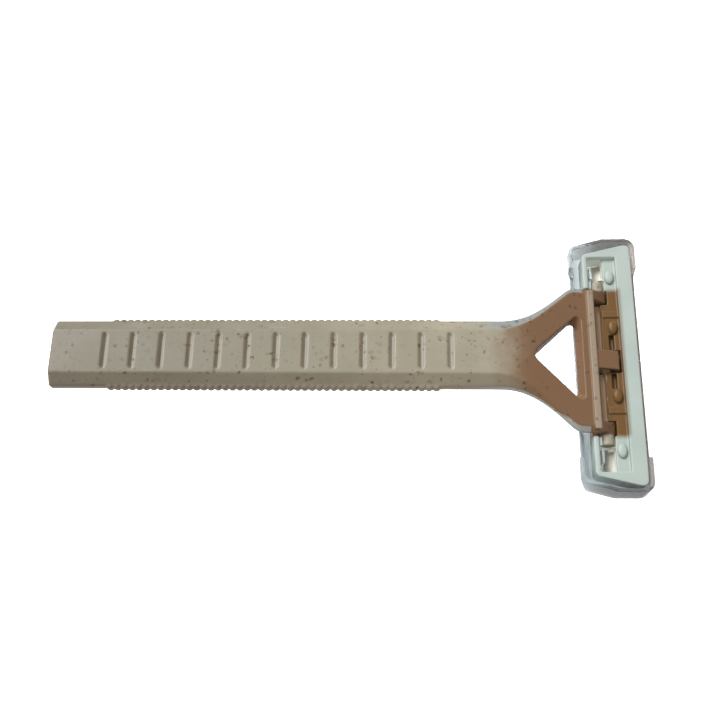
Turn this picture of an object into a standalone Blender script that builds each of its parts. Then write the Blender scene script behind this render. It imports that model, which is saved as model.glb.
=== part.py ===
# Disposable razor: speckled moulded handle with a forked yoke, pivoting twin-blade head
# and a clear push-on cap. Metres, +Z up, lying on its tail and on its cap.
import bpy
import bmesh
from math import radians, sin, cos, tan, pi
from mathutils import Matrix, Vector

mm = 0.001

# Driving sizes of the grip
grip_top_half = 3.65 * mm
grip_mid_half = 5.65 * mm
grip_low_half = 4.1 * mm
grip_mid_drop = 1.3 * mm
grip_side_band = 1.2 * mm
bevel_crown = 0.08 * mm
tooth_reach_share = 0.22
grip_thickness = 5.0 * mm
grip_edge_radius = 0.35 * mm
tail_corner = 0.45 * mm

# Cross grooves on the grip
groove_count = 13
groove_first = 8.8 * mm
groove_pitch = 4.63 * mm
groove_length = 6.3 * mm
groove_width = 1.05 * mm
groove_depth = 0.55 * mm
groove_end = 0.5 * mm
groove_shift = 0.1 * mm

# Toothed edges of the grip
tooth_first = 9.4 * mm
tooth_pitch = 1.16 * mm
tooth_count = 46
tooth_height = 0.34 * mm
tooth_crest_shares = (0.28, 0.72)

# Cored underside of the grip
core_count = 7
core_start = 3.6 * mm
core_end = 70.0 * mm
core_half = 2.7 * mm
core_web = 1.2 * mm
core_roof = 2.2 * mm
core_corner = 0.6 * mm

# Yoke, end bar and window
yoke_inset = 8.45 * mm
yoke_end = 88.1 * mm
yoke_shoulder = 1.0 * mm
yoke_mid_drop = 0.6 * mm
yoke_side_band = 0.4 * mm
flare_start = 72.0 * mm
flare_end = 83.7 * mm
flare_corner = 0.4 * mm
flare_lead = 4.5 * mm
flare_tail = 4.5 * mm
flare_tail_half = 7.7 * mm
corner_end = 84.9 * mm
slope_start = 70.5 * mm
slope_lead = 5.0 * mm
slope_mid = 81.0 * mm
slope_mid_drop = 2.1 * mm
slope_end_drop = 3.2 * mm
belly_start = 74.0 * mm
belly_lead = 5.0 * mm
belly_mid = 82.5 * mm
belly_mid_drop = 4.7 * mm
belly_end_drop = 4.2 * mm
yoke_stations = 20
window_tip = 77.15 * mm
window_base = 84.5 * mm
window_half = 6.8 * mm
window_draft = 1.0 * mm
window_tip_radius = 1.3 * mm
window_corner = 0.7 * mm
ridge_width = 1.25 * mm
ridge_rise = 0.35 * mm
ridge_end_gap = 0.2 * mm

# Pivot of the head in the yoke's arms
pivot_x = 89.0 * mm
pivot_z = -5.4 * mm
pin_radius = 1.05 * mm
pin_length = 1.7 * mm
arm_width = 2.0 * mm
arm_radius = 1.25 * mm
arm_heel = 0.25 * mm
arm_sweep = radians(195.0)
pin_clearance = 0.2 * mm
arm_clearance = 0.3 * mm
head_tilt = radians(2.0)

# Return tongue in the middle of the end bar
tongue_half = 1.6 * mm
tongue_length = 3.45 * mm
tongue_tip_drop = 4.2 * mm
tongue_thickness = 0.7 * mm
tongue_side_gap = 0.3 * mm
yoke_side_room = 0.35 * mm

# Cartridge seat, in the head's own frame: u runs from guard to rail, w from blades to back
seat_half_guard = 18.8 * mm
seat_spread = 1.9 * mm
seat_corner = 1.0 * mm
seat_back = 0.5 * mm
guard_near = -2.3 * mm
guard_width = 0.85 * mm
guard_lip = 0.1 * mm
guard_low = 0.1 * mm
platform_near = 0.3 * mm
side_window_far = 1.1 * mm
side_window_gap = 0.35 * mm
rail_near = 3.15 * mm
rail_far = 5.65 * mm
rail_rise = 0.8 * mm
rail_skirt = -1.2 * mm
end_wall = 2.4 * mm
shave_plane = -2.75 * mm
edge_round = 0.25 * mm
trim = 0.02 * mm
bridge_side = 0.9 * mm
bridge_end = 0.1 * mm
bridge_top = -0.1 * mm
hook_top = 0.9 * mm
hook_lip = 0.2 * mm
middle_rib_half = 0.9 * mm
tongue_floor = -0.6 * mm
tongue_room = 3.0 * mm
slot_inner = 2.0 * mm
slot_outer = 4.6 * mm
slot_near = 1.35 * mm
slot_far = 2.15 * mm
slot_depth = 1.1 * mm
rib_place = 8.2 * mm
rib_width = 1.2 * mm
rib_rise = 0.25 * mm
shelf_near = -1.6 * mm
shelf_top = -0.4 * mm
shelf_thickness = 0.8 * mm
shelf_side_gap = 0.3 * mm

# Blades and spacer
blade_angle = radians(22.0)
blade_edge_u = -0.5 * mm
blade_edge_w = -2.65 * mm
blade_span = 1.3 * mm
blade_rear_gap = 0.22 * mm
blade_thickness = 0.1 * mm
blade_grind = 0.4 * mm
blade_end_gap = 0.2 * mm
stack_gap = 0.07 * mm
spacer_setback = 1.4 * mm
spacer_notches = 10
spacer_notch_width = 1.5 * mm
spacer_notch_depth = 1.1 * mm

# Cartridge cap, its pins and the strip in its face
cap_nose = 1.35 * mm
cap_rear = 5.2 * mm
cap_rear_wall = 1.2 * mm
cap_round = 0.6 * mm
cap_pin_u = 2.05 * mm
cap_pin_radius = 0.5 * mm
cap_pin_clearance = 0.12 * mm
cap_pin_shares = (0.323, 0.818)
rivet_half_u = 0.82 * mm
rivet_half_y = 1.25 * mm
rivet_height = 0.6 * mm
rivet_shares = ((0.0, 1.0), (0.5, 0.93), (0.85, 0.7), (1.0, 0.36))
pin_sides = 20
strip_near = 2.65 * mm
strip_width = 1.6 * mm
strip_depth = 0.4 * mm
strip_end = 1.3 * mm
strip_clearance = 0.08 * mm

# Clear protective cap
cover_wall = 0.6 * mm
cover_floor = 0.55 * mm
cover_gap = 0.2 * mm
cover_face_gap = 0.3 * mm
cover_flare = 1.25 * mm
cover_toe = 0.4 * mm
cover_taper = 1.5 * mm
cover_knee = 1.0 * mm
cover_round = 1.0 * mm
cover_corner = 1.6 * mm
cover_ear_near = 1.75 * mm
cover_ear_far = 1.55 * mm
cover_side_low = -1.0 * mm
cover_ear_length = 4.6 * mm
cover_ear_slope = 1.5 * mm
prong_side_gap = 0.4 * mm
prong_end_gap = 1.5 * mm
prong_thickness = 0.4 * mm
prong_top = 0.9 * mm

# How far a cutter runs past what it cuts, and how finely round work is divided
overrun = 1.0 * mm
overlap = 0.2 * mm
weld_distance = 0.0005 * mm
arc_steps = 6
edge_steps = 2
round_sides = 32
corner_share = 0.45
bezier_rounds = 40
settle_rounds = 3
smooth_angle = radians(35.0)

# Sizes that follow from the ones above
seat_half_rail = seat_half_guard + seat_spread
yoke_half = seat_half_rail - yoke_inset
flare_end_half = yoke_half - flare_corner
window_middle = (window_tip + window_base) / 2
guard_far = guard_near + guard_width
bridge_inner = yoke_half - arm_width - bridge_side
bridge_outer = yoke_half + pin_length + bridge_end
upper_offset = -blade_span * sin(blade_angle)
table_offset = blade_thickness / 2 + stack_gap
cap_offset = upper_offset - blade_thickness / 2 - stack_gap
blade_half = seat_half_rail - end_wall - blade_end_gap
blade_room = rail_far - cap_rear_wall - blade_edge_u
blade_width = (blade_room - blade_rear_gap) / cos(blade_angle)
tongue_reach = yoke_end + tongue_length
strip_half = blade_half - strip_end
cover_ear = max(cover_ear_near, cover_ear_far)
cover_low = shave_plane - cover_face_gap - cover_floor
cover_near = guard_near - cover_toe - cover_wall
cover_far = rail_far + cover_gap + cover_wall
cover_half = seat_half_rail + cover_gap + cover_wall
cover_ear_outer = cover_half - cover_ear_length
cover_ear_inner = cover_ear_outer - cover_ear_slope
prong_inner = bridge_outer + prong_side_gap
prong_outer = seat_half_rail - end_wall - prong_end_gap

collection_name = "disposable_razor"
cutter_collection_name = "cutters"


def clear_objects():
    for item in list(bpy.data.objects):
        bpy.data.objects.remove(item)


def make_collection(name):
    made = bpy.data.collections.new(name)
    bpy.context.scene.collection.children.link(made)
    return made


def make_material(name, colour, roughness, metallic=0.0, transmission=0.0):
    made = bpy.data.materials.new(name)
    made.use_nodes = True
    shader = made.node_tree.nodes["Principled BSDF"]
    shader.inputs["Base Color"].default_value = (*colour, 1.0)
    shader.inputs["Roughness"].default_value = roughness
    shader.inputs["Metallic"].default_value = metallic
    shader.inputs["Transmission Weight"].default_value = transmission
    made.diffuse_color = (*colour, 1.0)
    return made


def make_empty(name, collection, parent=None, location=(0, 0, 0), tilt=0.0):
    empty = bpy.data.objects.new(name, None)
    collection.objects.link(empty)
    empty.parent = parent
    empty.location = location
    # A positive tilt lifts the +X side
    empty.rotation_euler = (0, -tilt, 0)
    return empty


def place(mesh, name, collection, cutter=False):
    made = bpy.data.objects.new(name, mesh)
    collection.objects.link(made)
    if cutter:
        made.hide_render = True
        made.display_type = "WIRE"
    return made


def box_mesh(name, low, high):
    low = Vector(low)
    high = Vector(high)
    size = high - low
    centre = (low + high) / 2
    shape = bmesh.new()
    matrix = Matrix.Translation(centre) @ Matrix.Diagonal((*size, 1))
    bmesh.ops.create_cube(shape, size=1.0, matrix=matrix)
    mesh = bpy.data.meshes.new(name)
    shape.to_mesh(mesh)
    shape.free()
    return mesh


def rod_mesh(name, axis, centre, radius, length, sides=round_sides):
    """A cylinder along Y or Z."""
    turn = Matrix.Rotation(pi / 2, 4, "X") if axis == "Y" else Matrix.Identity(4)
    shape = bmesh.new()
    bmesh.ops.create_cone(
        shape,
        cap_ends=True,
        segments=sides,
        radius1=radius,
        radius2=radius,
        depth=length,
        matrix=Matrix.Translation(centre) @ turn,
    )
    mesh = bpy.data.meshes.new(name)
    shape.to_mesh(mesh)
    shape.free()
    return mesh


def rounded(corners, radius, steps=arc_steps):
    """The outline through corners with each corner turned into an arc, of one radius or a list."""
    outline = []
    count = len(corners)
    radii = radius if isinstance(radius, list) else [radius] * count
    for index, (corner, wanted) in enumerate(zip(corners, radii)):
        here = Vector(corner)
        before = Vector(corners[index - 1]) - here
        after = Vector(corners[(index + 1) % count]) - here
        half_angle = before.angle(after) / 2
        reach = min(wanted / tan(half_angle), before.length * corner_share, after.length * corner_share)
        real_radius = reach * tan(half_angle)
        inward = (before.normalized() + after.normalized()).normalized()
        middle = here + inward * (real_radius / sin(half_angle))
        start = here + before.normalized() * reach - middle
        end = here + after.normalized() * reach - middle
        sweep = start.angle_signed(end)
        for step in range(steps + 1):
            turned = start.copy()
            turned.rotate(Matrix.Rotation(-sweep * step / steps, 2))
            outline.append(tuple(middle + turned))
    return outline


def plate_mesh(name, outline, low, high, plane):
    """A flat outline given thickness. In plane XZ it runs along Y, in XY along Z and in YZ along X."""
    curve = bpy.data.curves.new(name, "CURVE")
    curve.dimensions = "2D"
    curve.fill_mode = "BOTH"
    curve.extrude = (high - low) / 2
    spline = curve.splines.new("POLY")
    spline.points.add(len(outline) - 1)
    for point, (across, up) in zip(spline.points, outline):
        point.co = (across, up, 0, 1)
    spline.use_cyclic_u = True
    guide = bpy.data.objects.new(name, curve)
    bpy.context.scene.collection.objects.link(guide)
    bpy.context.view_layer.update()
    evaluated = guide.evaluated_get(bpy.context.evaluated_depsgraph_get())
    mesh = bpy.data.meshes.new_from_object(evaluated)
    bpy.data.objects.remove(guide)
    turns = {
        "XY": Matrix.Identity(4),
        "XZ": Matrix.Rotation(pi / 2, 4, "X"),
        "YZ": Matrix.Rotation(pi / 2, 4, "Z") @ Matrix.Rotation(pi / 2, 4, "X"),
    }
    middle = (low + high) / 2
    shifts = {"XY": (0, 0, middle), "XZ": (0, middle, 0), "YZ": (middle, 0, 0)}
    shape = bmesh.new()
    shape.from_mesh(mesh)
    bmesh.ops.remove_doubles(shape, verts=shape.verts, dist=weld_distance)
    bmesh.ops.transform(shape, matrix=Matrix.Translation(shifts[plane]) @ turns[plane], verts=shape.verts)
    bmesh.ops.recalc_face_normals(shape, faces=shape.faces)
    shape.to_mesh(mesh)
    shape.free()
    return mesh


def loft_mesh(name, rings):
    """Closed rings joined one to the next, with a face over each end."""
    shape = bmesh.new()
    made = [[shape.verts.new(point) for point in ring] for ring in rings]
    for near, far in zip(made, made[1:]):
        for index in range(len(near)):
            follow = (index + 1) % len(near)
            shape.faces.new((near[index], near[follow], far[follow], far[index]))
    shape.faces.new(made[0])
    shape.faces.new(made[-1])
    bmesh.ops.recalc_face_normals(shape, faces=shape.faces)
    mesh = bpy.data.meshes.new(name)
    shape.to_mesh(mesh)
    shape.free()
    return mesh


def together(name, meshes):
    """Several shapes that don't touch, as one mesh."""
    shape = bmesh.new()
    for mesh in meshes:
        shape.from_mesh(mesh)
    mesh = bpy.data.meshes.new(name)
    shape.to_mesh(mesh)
    shape.free()
    return mesh


class Builder:
    """Cuts and joins one piece, and keeps the tools used in the cutters' collection."""

    def __init__(self, name, mesh, parts, tools, material=None):
        self.piece = place(mesh, name, parts)
        self.tools = tools
        self.used = []
        if material:
            self.piece.data.materials.append(material)

    def change(self, mesh, operation):
        name = f"{self.piece.name}_{mesh.name}"
        tool = place(mesh, name, self.tools, cutter=True)
        step = self.piece.modifiers.new(name, "BOOLEAN")
        step.operation = operation
        step.solver = "EXACT"
        step.object = tool
        self.used.append(tool)

    def finish(self, parent):
        """Works the steps out in the piece's own flat frame, then hangs it on its parent."""
        bpy.context.view_layer.update()
        evaluated = self.piece.evaluated_get(bpy.context.evaluated_depsgraph_get())
        mesh = bpy.data.meshes.new_from_object(evaluated)
        shape = bmesh.new()
        shape.from_mesh(mesh)
        bmesh.ops.remove_doubles(shape, verts=shape.verts, dist=weld_distance)
        bmesh.ops.dissolve_degenerate(shape, edges=shape.edges, dist=weld_distance)
        shape.to_mesh(mesh)
        shape.free()
        self.piece.modifiers.clear()
        self.piece.data = mesh
        for item in [self.piece] + self.used:
            item.parent = parent
        return self.piece

    def cut(self, mesh):
        self.change(mesh, "DIFFERENCE")

    def join(self, mesh):
        self.change(mesh, "UNION")

    def keep(self, mesh):
        self.change(mesh, "INTERSECT")


def bezier_at(points, x):
    """Height of a Bezier curve at x, for a curve that always runs forward in x."""
    (x0, y0), (x1, y1), (x2, y2), (x3, y3) = points
    if x <= x0:
        return y0
    if x >= x3:
        return y3
    low = 0.0
    high = 1.0
    for _ in range(bezier_rounds):
        t = (low + high) / 2
        s = 1 - t
        found = s * s * s * x0 + 3 * s * s * t * x1 + 3 * s * t * t * x2 + t * t * t * x3
        if found < x:
            low = t
        else:
            high = t
    return s * s * s * y0 + 3 * s * s * t * y1 + 3 * s * t * t * y2 + t * t * t * y3


def handle_half(x):
    """Half the handle's width: even grip, hollow flare, rounded corner, straight end."""
    flare = (
        (flare_start, grip_mid_half),
        (flare_start + flare_lead, grip_mid_half),
        (flare_end - flare_tail, flare_tail_half),
        (flare_end, flare_end_half),
    )
    if x <= flare_end:
        return bezier_at(flare, x)
    share = min(1.0, (x - flare_end) / (corner_end - flare_end))
    return flare_end_half + (yoke_half - flare_end_half) * sin(share * pi / 2)


def handle_top(x):
    slope = (
        (slope_start, 0.0),
        (slope_start + slope_lead, 0.0),
        (slope_mid, -slope_mid_drop),
        (yoke_end - ridge_width, -slope_end_drop),
    )
    return bezier_at(slope, x)


def handle_low(x):
    belly = (
        (belly_start, -grip_thickness),
        (belly_start + belly_lead, -grip_thickness),
        (belly_mid, -belly_mid_drop),
        (yoke_end, -belly_end_drop),
    )
    return bezier_at(belly, x)


def handle_ring(x, side_inset=0.0, face_inset=0.0, tooth=0.0):
    blend = (x - flare_start) / (window_middle - flare_start)
    share = min(1.0, max(0.0, blend))
    shoulder = (grip_mid_half - grip_top_half) * (1 - share) + yoke_shoulder * share
    under = (grip_mid_half - grip_low_half) * (1 - share) + yoke_shoulder * share
    drop = grip_mid_drop * (1 - share) + yoke_mid_drop * share
    band = grip_side_band * (1 - share) + yoke_side_band * share
    half = handle_half(x) - side_inset
    top = handle_top(x) - face_inset
    low = handle_low(x) + face_inset
    reach = tooth_reach_share
    right = [
        (half - shoulder, top),
        (half - shoulder * reach + bevel_crown, top - drop * (1 - reach)),
        (half + tooth, top - drop),
        (half + tooth, top - drop - band),
        (half - under, low),
    ]
    left = [(-y, z) for y, z in reversed(right)]
    return [(x, y, z) for y, z in rounded(right + left, grip_edge_radius, edge_steps)]


def handle_rings():
    rings = []
    for step in range(arc_steps + 1):
        turn = (pi / 2) * step / arc_steps
        closing = 1 - sin(turn)
        x = tail_corner * (1 - cos(turn))
        rings.append(handle_ring(x, tail_corner * closing, grip_edge_radius * closing))
    for index in range(tooth_count):
        foot = tooth_first + tooth_pitch * index
        rings.append(handle_ring(foot))
        for crest in tooth_crest_shares:
            rings.append(handle_ring(foot + tooth_pitch * crest, tooth=tooth_height))
    rings.append(handle_ring(tooth_first + tooth_pitch * tooth_count))
    end = yoke_end - grip_edge_radius
    for step in range(yoke_stations + 1):
        rings.append(handle_ring(slope_start + (end - slope_start) * step / yoke_stations))
    for step in range(1, arc_steps + 1):
        turn = (pi / 2) * step / arc_steps
        closing = grip_edge_radius * (1 - cos(turn))
        rings.append(handle_ring(end + grip_edge_radius * sin(turn), closing, closing))
    return rings


def arm_outline():
    """The arm seen from the side: from the end bar down round the pin."""
    outline = [
        (yoke_end, -slope_end_drop),
        (pivot_x - arm_radius - arm_heel, -slope_end_drop),
        (pivot_x - arm_radius - arm_heel, -belly_end_drop),
    ]
    for step in range(round_sides + 1):
        turn = pi + arm_sweep * step / round_sides
        outline.append((pivot_x + arm_radius * cos(turn), pivot_z + arm_radius * sin(turn)))
    return outline


def tongue_outline():
    root_top = -slope_end_drop
    tip_top = -tongue_tip_drop
    return [
        (yoke_end - ridge_width, root_top - tongue_thickness),
        (yoke_end - ridge_width, root_top),
        (yoke_end, root_top),
        (tongue_reach, tip_top),
        (tongue_reach, tip_top - tongue_thickness),
        (yoke_end, root_top - tongue_thickness - overlap),
    ]


def groove_wedges():
    """A slanting groove each, which runs out at both ends."""
    half = groove_length / 2
    stations = [
        (-half, trim),
        (groove_end - half, groove_depth),
        (half - groove_end, groove_depth),
        (half, trim),
    ]
    wedges = []
    for index in range(groove_count):
        middle = groove_first + groove_pitch * index
        near = middle - groove_width / 2
        far = middle + groove_width / 2
        bottom = middle + groove_shift
        rings = []
        for y, depth in stations:
            sides = [(near, overrun), (near, 0.0), (bottom, -depth), (far, 0.0), (far, overrun)]
            rings.append([(x, y, z) for x, z in sides])
        wedges.append(loft_mesh("groove", rings))
    return wedges


def window_wedge():
    """The triangular window, whose wall towards the head slants to a wider mouth on top."""
    slope = window_half / (window_base - window_tip)
    slant = window_draft / (belly_mid_drop - slope_end_drop)
    rings = []
    for z in (-grip_thickness - overrun, 0.0):
        base = window_base + slant * (z + belly_mid_drop)
        half = slope * (base - window_tip)
        corners = [(window_tip, 0.0), (base, -half), (base, half)]
        radii = [window_tip_radius, window_corner, window_corner]
        rings.append([(x, y, z) for x, y in rounded(corners, radii)])
    return loft_mesh("window", rings)


def core_pockets():
    pockets = []
    length = (core_end - core_start - core_web * (core_count - 1)) / core_count
    for index in range(core_count):
        near = core_start + (length + core_web) * index
        far = near + length
        corners = [(near, -core_half), (far, -core_half), (far, core_half), (near, core_half)]
        outline = rounded(corners, core_corner)
        pockets.append(plate_mesh("core", outline, -grip_thickness - overrun, -core_roof, "XY"))
    return pockets


def make_handle(parts, tools, parent, material):
    work = Builder("handle", loft_mesh("handle", handle_rings()), parts, tools, material)
    work.cut(together("grooves", groove_wedges()))
    work.cut(together("cores", core_pockets()))
    work.cut(window_wedge())

    ridge_half = yoke_half - ridge_end_gap - grip_edge_radius
    ridge_low = (yoke_end - ridge_width, -ridge_half, -slope_end_drop - ridge_rise)
    ridge_high = (yoke_end - overlap, ridge_half, -slope_end_drop + ridge_rise)
    work.join(box_mesh("ridge", ridge_low, ridge_high))
    work.join(plate_mesh("tongue", tongue_outline(), -tongue_half, tongue_half, "XZ"))

    arms = []
    pins = []
    for side in (1, -1):
        low, high = sorted((side * (yoke_half - arm_width), side * (yoke_half - ridge_end_gap)))
        arms.append(plate_mesh("arm", arm_outline(), low, high, "XZ"))
        reach = pin_length + arm_width / 2
        middle = side * (yoke_half + pin_length - reach / 2)
        pins.append(rod_mesh("pin", "Y", (pivot_x, middle, pivot_z), pin_radius, reach))
    work.join(together("arms", arms))
    work.join(together("pins", pins))
    return work.finish(parent)


def stack_line(s, n):
    """A place in the blades' tilted frame, given in the head's frame."""
    u = blade_edge_u + s * cos(blade_angle) - n * sin(blade_angle)
    w = blade_edge_w + s * sin(blade_angle) + n * cos(blade_angle)
    return (u, w)


def stack_height(u, n):
    """Height w of a line that runs along the blades at distance n from the lower one."""
    s = (u - blade_edge_u + n * sin(blade_angle)) / cos(blade_angle)
    return stack_line(s, n)[1]


def seat_plan():
    near = guard_near - 2 * trim
    far = rail_far + 2 * trim
    corners = [
        (near, -seat_half_guard),
        (far, -seat_half_rail),
        (far, seat_half_rail),
        (near, seat_half_guard),
    ]
    return rounded(corners, seat_corner)


def seat_body():
    """Platform, rail, guard and end walls of the seat."""
    rim = seat_back + rail_rise
    rear_inner = rail_far - cap_rear_wall + overlap
    platform = [
        (platform_near, seat_back),
        (platform_near, stack_height(platform_near, table_offset)),
        (rear_inner, stack_height(rear_inner, table_offset)),
        (rear_inner, rail_skirt),
        (rail_far, rail_skirt),
        (rail_far, rim),
        (rail_near, rim),
        (rail_near, seat_back),
    ]
    guard = [
        (guard_near, rim),
        (guard_near, shave_plane),
        (guard_far + guard_lip, shave_plane),
        (guard_far, shave_plane + guard_width),
        (guard_far, rim),
    ]
    side = [
        (guard_near - trim, rim),
        (guard_near - trim, shave_plane + edge_round),
        (rail_far - cap_rear_wall / 2, shave_plane + edge_round),
        (rail_far + trim, rail_skirt),
        (rail_far + trim, rim),
    ]
    return platform, rounded(guard, edge_round), rounded(side, edge_round)


def seat_bridges():
    """Solid webs from the guard to the platform: one round each pin, one in the middle."""
    near = guard_far - overlap
    far = platform_near + overlap
    lift = table_offset + trim
    low = stack_height(blade_edge_u, lift)
    webs = []
    for inner, outer, top in (
        (bridge_inner, bridge_outer, bridge_top),
        (-bridge_outer, -bridge_inner, bridge_top),
        (-middle_rib_half, middle_rib_half, tongue_floor),
    ):
        outline = [
            (near, top),
            (near, low),
            (blade_edge_u, low),
            (far, stack_height(far, lift)),
            (far, top),
        ]
        webs.append(plate_mesh("bridge", outline, inner, outer, "XZ"))
    return webs


def seat_extras():
    """Ribs on the platform, hooks that hold the pins in and the shelf under the yoke's end bar."""
    shapes = []
    for end in (1, -1):
        inner, outer = sorted((end * (tongue_half + shelf_side_gap), end * (bridge_inner + overlap)))
        low = (shelf_near, inner, shelf_top - shelf_thickness)
        shapes.append(box_mesh("shelf", low, (platform_near + overlap, outer, shelf_top)))
        near = end * rib_place - rib_width / 2
        low = (platform_near + overlap, near, 0.0)
        high = (rail_near + overlap, near + rib_width, seat_back + rib_rise)
        shapes.append(box_mesh("rib", low, high))
        inner, outer = sorted((end * (yoke_half + yoke_side_room), end * bridge_outer))
        low = (guard_far - overlap, inner, bridge_top - overlap)
        high = (-pin_radius + hook_lip, outer, hook_top)
        shapes.append(box_mesh("hook", low, high))
    return shapes


def pivot_rooms():
    """Round rooms for the arms and pins, each in one solid with its way out to the back."""
    arm_room = arm_radius + arm_clearance
    arm_inner = yoke_half - arm_width - arm_clearance
    arm_outer = yoke_half + arm_clearance / 2
    pin_room = pin_radius + pin_clearance
    pin_end = yoke_half + pin_length + arm_clearance
    rooms = {"arm_rooms": [], "arm_ways": [], "pin_rooms": [], "pin_ways": []}
    for end in (1, -1):
        width = arm_outer - arm_inner
        centre = end * (arm_inner + arm_outer) / 2
        rooms["arm_rooms"].append(rod_mesh("room", "Y", (0, centre, 0), arm_room, width))
        low = (guard_near - overrun, centre - width / 2, 0.0)
        high = (arm_room - trim, centre + width / 2, seat_back + overrun)
        rooms["arm_ways"].append(box_mesh("way", low, high))
        width = pin_end - arm_outer + overlap
        centre = end * (arm_outer - overlap + pin_end) / 2
        rooms["pin_rooms"].append(rod_mesh("room", "Y", (0, centre, 0), pin_room, width))
        low = (-pin_radius + hook_lip, centre - width / 2, 0.0)
        high = (pin_radius, centre + width / 2, seat_back + overrun)
        rooms["pin_ways"].append(box_mesh("way", low, high))
    return rooms


def make_seat(parts, tools, parent, material):
    platform, guard, side = seat_body()
    inner = seat_half_rail - end_wall + overlap
    mesh = plate_mesh("seat", platform, -inner, inner, "XZ")
    work = Builder("cartridge_seat", mesh, parts, tools, material)
    work.join(plate_mesh("guard", guard, -inner, inner, "XZ"))
    low = (guard_near - overrun, -yoke_half - yoke_side_room, guard_low)
    high = (platform_near - trim, yoke_half + yoke_side_room, seat_back + rail_rise + overrun)
    work.cut(box_mesh("yoke_room", low, high))
    work.join(together("bridges", seat_bridges()))
    work.join(together("extras", seat_extras()))
    for name, meshes in pivot_rooms().items():
        work.cut(together(name, meshes))

    low = (platform_near - overrun, -tongue_half - tongue_side_gap, tongue_floor)
    high = (tongue_room, tongue_half + tongue_side_gap, seat_back + overrun)
    work.cut(box_mesh("tongue_room", low, high))
    slots = []
    for end in (1, -1):
        inner_y, outer_y = sorted((end * slot_inner, end * slot_outer))
        low = (slot_near, inner_y, seat_back - slot_depth)
        high = (slot_far, outer_y, seat_back + overrun)
        slots.append(box_mesh("slot", low, high))
    work.cut(together("slots", slots))
    windows = []
    for end in (1, -1):
        inner_y, outer_y = sorted((end * (bridge_outer + side_window_gap), end * (inner + overrun)))
        low = (platform_near - overlap, inner_y, shave_plane - overrun)
        windows.append(box_mesh("side_window", low, (side_window_far, outer_y, seat_back + overrun)))
    work.cut(together("side_windows", windows))
    work.cut(pin_holes(0.0))

    walls = []
    for end in (1, -1):
        low_y, high_y = sorted((end * (seat_half_rail - end_wall), end * (seat_half_rail + overrun)))
        walls.append(plate_mesh("end_wall", side, low_y, high_y, "XZ"))
    work.join(together("end_walls", walls))
    plan = plate_mesh("plan", seat_plan(), shave_plane - overrun, seat_back + rail_rise + overrun, "XY")
    work.keep(plan)
    return work.finish(parent)


def pin_centres():
    return [end * share * blade_half for share in cap_pin_shares for end in (1, -1)]


def pin_holes(tilt):
    """Drills for the cap's pins, turned back by tilt for a piece that is drawn in the blades' frame."""
    length = seat_back - shave_plane + 2 * overrun
    rods = []
    for y in pin_centres():
        centre = (cap_pin_u, y, (seat_back + shave_plane) / 2)
        rods.append(rod_mesh("hole", "Z", centre, cap_pin_radius + cap_pin_clearance, length, pin_sides))
    holes = together("pin_holes", rods)
    if tilt:
        to_edge = Matrix.Translation((-blade_edge_u, 0, -blade_edge_w))
        holes.transform(Matrix.Rotation(tilt, 4, "Y") @ to_edge)
    return holes


def blade_section(edge_s, n):
    half = blade_thickness / 2
    return [
        (edge_s, n),
        (edge_s + blade_grind, n - half),
        (blade_width, n - half),
        (blade_width, n + half),
        (edge_s + blade_grind, n + half),
    ]


def make_blade(name, edge_s, n, parts, tools, parent, material):
    mesh = plate_mesh(name, blade_section(edge_s, n), -blade_half, blade_half, "XZ")
    work = Builder(name, mesh, parts, tools, material)
    work.cut(pin_holes(blade_angle))
    return work.finish(parent)


def make_spacer(parts, tools, parent, material):
    top = -blade_thickness / 2 - stack_gap
    low = upper_offset + blade_thickness / 2 + stack_gap
    near = blade_span * cos(blade_angle) + spacer_setback
    corners = [(near, low), (blade_width, low), (blade_width, top), (near, top)]
    mesh = plate_mesh("spacer", corners, -blade_half, blade_half, "XZ")
    work = Builder("blade_spacer", mesh, parts, tools, material)
    pitch = 2 * blade_half / spacer_notches
    notches = []
    for index in range(spacer_notches):
        middle = -blade_half + pitch * (index + 0.5)
        start = (near - overrun, middle - spacer_notch_width / 2, low - overrun)
        end = (near + spacer_notch_depth, middle + spacer_notch_width / 2, top + overrun)
        notches.append(box_mesh("notch", start, end))
    work.cut(together("notches", notches))
    work.cut(pin_holes(blade_angle))
    return work.finish(parent)


def rivet_mesh(y, foot):
    """The domed oval head left on a pin after it is melted down."""
    rings = []
    for rise, spread in rivet_shares:
        ring = []
        for step in range(pin_sides):
            turn = 2 * pi * step / pin_sides
            u = cap_pin_u + rivet_half_u * spread * cos(turn)
            ring.append((u, y + rivet_half_y * spread * sin(turn), foot + rivet_height * rise))
        rings.append(ring)
    return loft_mesh("rivet", rings)


def make_cartridge_cap(parts, tools, parent, material):
    rear_height = stack_height(cap_rear - cap_round, cap_offset)
    outer = [
        (cap_nose, stack_height(cap_nose, cap_offset)),
        (cap_nose + edge_round / 2, shave_plane),
        (cap_rear - cap_round, shave_plane),
        (cap_rear, shave_plane + cap_round),
        (cap_rear, rear_height),
        (cap_rear - cap_round, rear_height),
    ]
    mesh = plate_mesh("cap", outer, -blade_half, blade_half, "XZ")
    work = Builder("cartridge_cap", mesh, parts, tools, material)
    foot = shave_plane + edge_round
    head = seat_back + stack_gap
    pins = []
    rivets = []
    for y in pin_centres():
        length = head + rivet_height / 2 - foot
        centre = (cap_pin_u, y, foot + length / 2)
        pins.append(rod_mesh("pin", "Z", centre, cap_pin_radius, length, pin_sides))
        rivets.append(rivet_mesh(y, head))
    work.join(together("pins", pins))
    work.join(together("rivets", rivets))
    low = (strip_near, -strip_half, shave_plane - overrun)
    high = (strip_near + strip_width, strip_half, shave_plane + strip_depth)
    work.cut(box_mesh("strip_recess", low, high))
    return work.finish(parent)


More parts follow.
